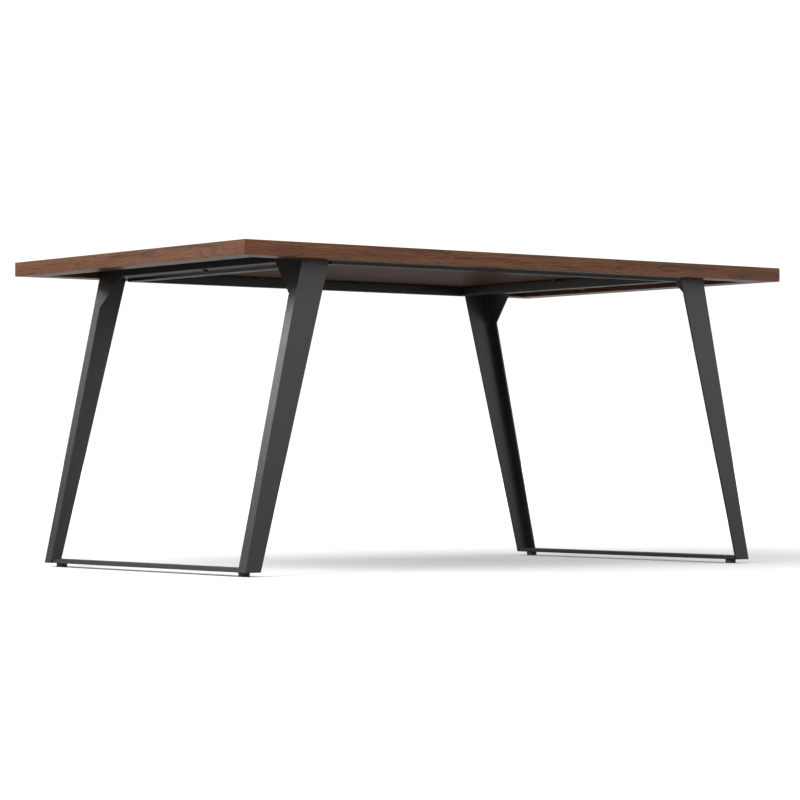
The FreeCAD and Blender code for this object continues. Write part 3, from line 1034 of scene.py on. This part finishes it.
CAMERA_PLACE = (-4.62411, -6.00835, 0.26323)
CAMERA_TURN = (math.radians(91.179), 0, math.radians(-37.52868))
CAMERA_LENS = 134.04


class TABLE_OT_stage(Operator):
    """Pale floor, soft light and the camera"""
    bl_idname = "table.stage"
    bl_label = "Stage"

    def execute(self, context):
        stage = context.scene.table_stage
        scene = context.scene
        # seen from the camera, the floor and the room clear to white with distance. What they give back to the
        # table is set apart from that.
        shown_room = 1.1
        scene.view_settings.view_transform = "Standard"
        scene.view_settings.look = "None"

        let_go()
        bpy.ops.mesh.primitive_plane_add(size=400)
        floor = named("studio_floor")
        material, w, shader = new_material("floor_paint", Roughness=0.9)
        shader.inputs["Specular IOR Level"].default_value = 0.0
        cloud = w.noise(w.place(), 0.6, 2.0, 0.5)
        duller = tuple(0.985 * part for part in stage.floor[:3]) + (1,)
        shade = w.mix(w.span(cloud, 0.3, 0.7), duller, tuple(stage.floor))
        seen = w.tree.nodes.new("ShaderNodeLightPath").outputs["Is Camera Ray"]
        away = w.vector("LENGTH", w.place())
        w.link(w.mix(seen, (stage.bounce,) * 3 + (1,), shade), shader.inputs["Base Color"])
        shader.inputs["Emission Color"].default_value = (1, 1, 1, 1)
        # painted light: the floor glows for the camera, a little near the table to thin the shadows cast on it and up
        # to white far away, and far away it also glows in reflections
        camera_glow = w.math("MULTIPLY", seen, w.span(away, 1.2, 8.0, stage.lift, 0.9))
        mirrored = w.math("MULTIPLY", w.math("SUBTRACT", 1.0, seen),
                          w.span(away, 4.0, 9.0, 0.0, 1.0, smooth=True))
        w.link(w.math("ADD", camera_glow, mirrored), shader.inputs["Emission Strength"])
        floor.data.materials.append(material)

        world = bpy.data.worlds.new("soft_room")
        scene.world = world
        world.use_nodes = True
        nodes = world.node_tree.nodes
        background = nodes["Background"]
        w = Wiring(world.node_tree)
        look = w.split(nodes.new("ShaderNodeTexCoord").outputs["Generated"])
        side = w.math("ADD", w.math("MULTIPLY", look[0], -0.15), w.math("MULTIPLY", look[1], -0.60))
        lit = w.span(side, -0.6, 0.5, 0.35, 1.45, smooth=True)
        seen = nodes.new("ShaderNodeLightPath").outputs["Is Camera Ray"]
        level = w.math("ADD", w.math("MULTIPLY", lit, w.math("SUBTRACT", 1.0, seen)),
                       w.math("MULTIPLY", seen, shown_room))
        background.inputs["Color"].default_value = (1, 1, 1, 1)
        w.link(w.math("MULTIPLY", level, stage.sky), background.inputs["Strength"])

        def soft_light(name, spot, target, size, power):
            let_go()
            bpy.ops.object.light_add(type="AREA", location=spot)
            lamp = bpy.context.object
            lamp.name = name
            lamp.rotation_euler = (Vector(target) - Vector(spot)).to_track_quat("-Z", "Y").to_euler()
            lamp.data.size = size
            lamp.data.energy = power
            lamp.visible_camera = False

        soft_light("left_key", (-5.0, -0.6, 4.2), (0, 0, 0.3), 4.4, stage.key)
        soft_light("side_panel", (-2.35, 1.95, 1.75), (-0.7, -0.44, 0.4), 1.1, stage.rim)

        let_go()
        bpy.ops.object.camera_add(location=CAMERA_PLACE, rotation=CAMERA_TURN)
        camera = bpy.context.object
        camera.name = "table_camera"
        camera.data.lens, camera.data.sensor_width, camera.data.clip_end = CAMERA_LENS, 36.0, 900
        scene.camera = camera
        return {"FINISHED"}


class TABLE_PT_builder(Panel):
    """Lists the steps that build the table, and its sizes and colours"""
    bl_label = "Butcher Block Table"
    bl_idname = "TABLE_PT_builder"
    bl_space_type = "VIEW_3D"
    bl_region_type = "UI"
    bl_category = "Table"

    def draw(self, context):
        for step in STEPS:
            self.layout.operator(step.bl_idname)
        for store in SETTINGS:
            settings = getattr(context.scene, store)
            box = self.layout.box()
            for label in settings.__annotations__:
                box.prop(settings, label)


SETTINGS = {"walnut_top": WalnutTopSettings, "steel_frame": SteelFrameSettings, "hardware": HardwareSettings,
            "table_stage": StageSettings}
STEPS = (TABLE_OT_finishes, TABLE_OT_walnut_staves, TABLE_OT_edge_strips, TABLE_OT_angle_legs,
         TABLE_OT_leg_channels, TABLE_OT_floor_bars, TABLE_OT_under_frame_rails, TABLE_OT_screw_tabs,
         TABLE_OT_top_bolts, TABLE_OT_weld_beads, TABLE_OT_glides, TABLE_OT_stage)


def register():
    for kind in (*SETTINGS.values(), *STEPS, TABLE_PT_builder):
        bpy.utils.register_class(kind)
    for store, kind in SETTINGS.items():
        setattr(bpy.types.Scene, store, PointerProperty(type=kind))


def unregister():
    for store in SETTINGS:
        delattr(bpy.types.Scene, store)
    for kind in reversed((*SETTINGS.values(), *STEPS, TABLE_PT_builder)):
        bpy.utils.unregister_class(kind)


def main():
    register()
    for step in STEPS:
        getattr(bpy.ops.table, step.bl_idname.split(".")[1])()
    let_go()
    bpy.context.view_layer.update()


if __name__ == "__main__":
    main()
